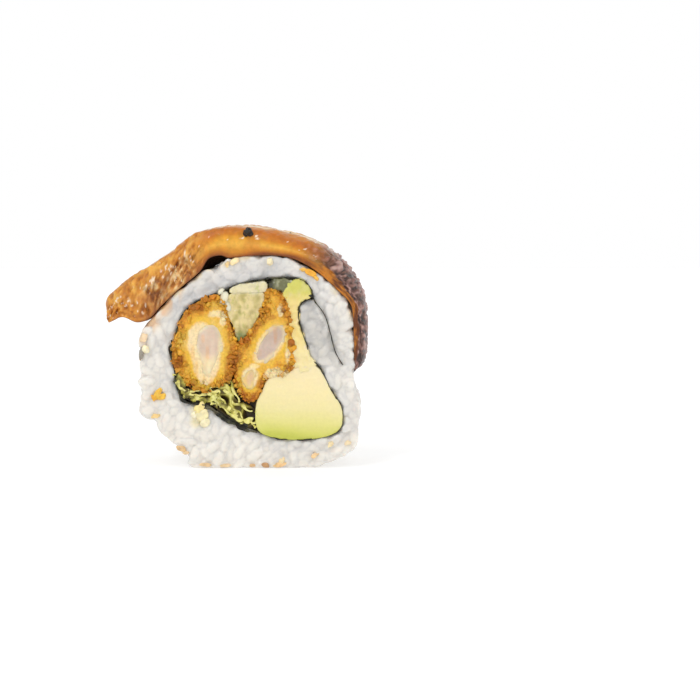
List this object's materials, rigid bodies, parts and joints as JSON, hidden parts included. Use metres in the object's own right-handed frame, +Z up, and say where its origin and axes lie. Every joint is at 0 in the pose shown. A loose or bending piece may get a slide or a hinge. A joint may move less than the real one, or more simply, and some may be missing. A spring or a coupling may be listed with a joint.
{
  "type": "sushi roll piece",
  "caption": "Cut piece of an inside-out sushi roll with battered prawn, avocado, cucumber and lettuce in seaweed and rice, under a draped slab of grilled eel",
  "frame": {"origin": "middle of the piece's box in X and Y, on the board that the flat underside rests on", "axes": "+X right across the front cut face, towards the charred end of the eel; +Y from the front cut face along the roll to the back cut face; +Z up from the board to the eel"},
  "size_m": [0.0606, 0.0348, 0.0558],
  "materials": {
    "rice": "moist cooked rice grains with sesame seeds",
    "nori": "dark dried seaweed sheet",
    "eel": "amber glaze over grilled eel, charred at one end",
    "batter": "golden fried batter crumb",
    "prawn": "moist cooked prawn meat",
    "avocado": "smooth ripe avocado, greener at the skin side",
    "cucumber": "wet cut cucumber with a thin dark skin",
    "lettuce": "thin frilled leaf"
  },
  "bodies": {
    "root": {"rice": "rice", "nori": "nori", "eel": "eel", "batter_left": "batter", "batter_right": "batter", "prawn_left": "prawn", "prawn_right": "prawn", "prawn_tail": "prawn", "avocado_wedge": "avocado", "avocado_slice": "avocado", "cucumber_wedge": "cucumber", "cucumber_block": "cucumber", "cucumber_sliver": "cucumber", "lettuce_upper": "lettuce", "lettuce_lower": "lettuce"}
  },
  "joints": []
}
